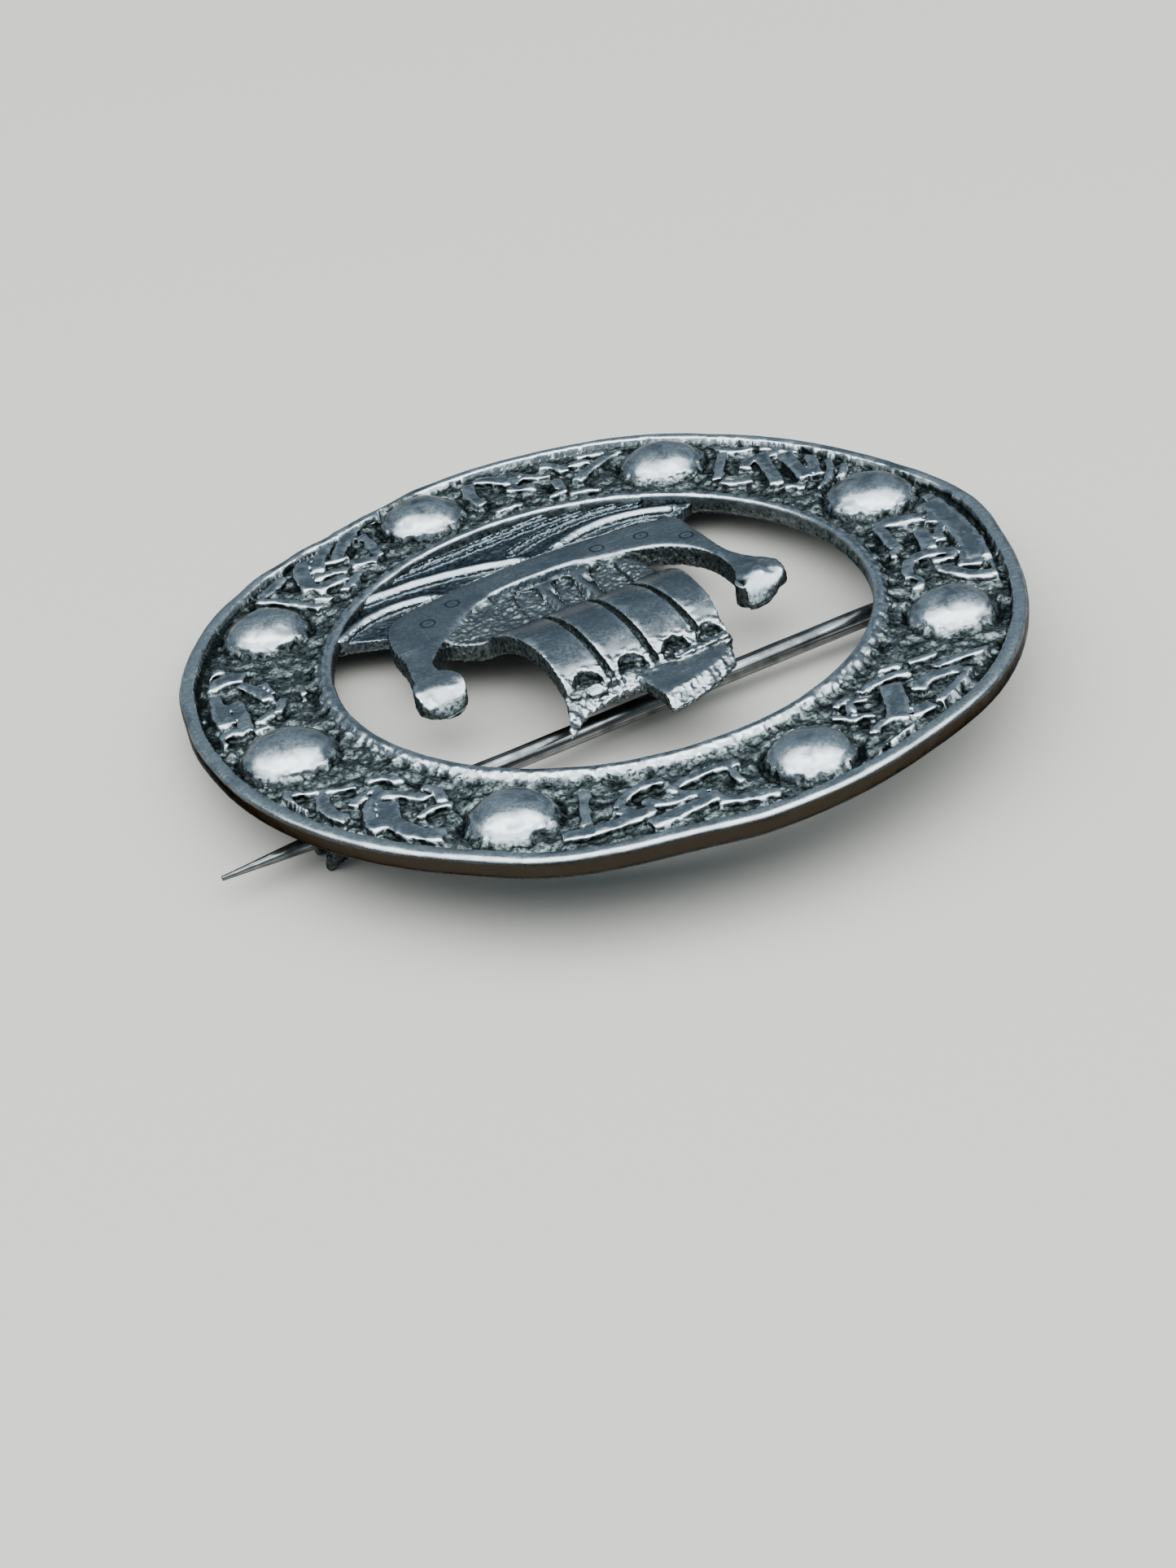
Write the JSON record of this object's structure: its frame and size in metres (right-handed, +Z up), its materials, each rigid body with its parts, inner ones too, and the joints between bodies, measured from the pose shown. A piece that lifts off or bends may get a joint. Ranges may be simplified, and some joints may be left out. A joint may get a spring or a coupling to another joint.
{
  "type": "ship brooch",
  "caption": "Round openwork silver brooch: a flat ring with domes and interlace frames a sailing ship, with a hinged pin behind.",
  "frame": {"origin": "centre of the bounding box's underside, on the surface the brooch lies on", "axes": "+X along the pin from hinge to tip, +Y from the ship's keel towards its mast, +Z up; the face leans back 6.2 degrees about X, as it rests"},
  "size_m": [0.042, 0.0398, 0.0056],
  "materials": {
    "cast_silver": "cast silver, polished on the high parts and blackened in the recesses",
    "rivet_silver": "polished silver",
    "pin_silver": "polished silver wire"
  },
  "bodies": {
    "brooch": {"brooch_casting": "cast_silver", "hinge_rivet": "rivet_silver"},
    "pin": {"brooch_pin": "pin_silver"}
  },
  "joints": [
    {"name": "pin_swing", "type": "hinge", "parent": "brooch", "child": "pin", "pos_m": [-0.01678, 0.0047, 0.00127], "axis": [0, 0.9941, 0.108], "range_deg": [0, 95]}
  ]
}
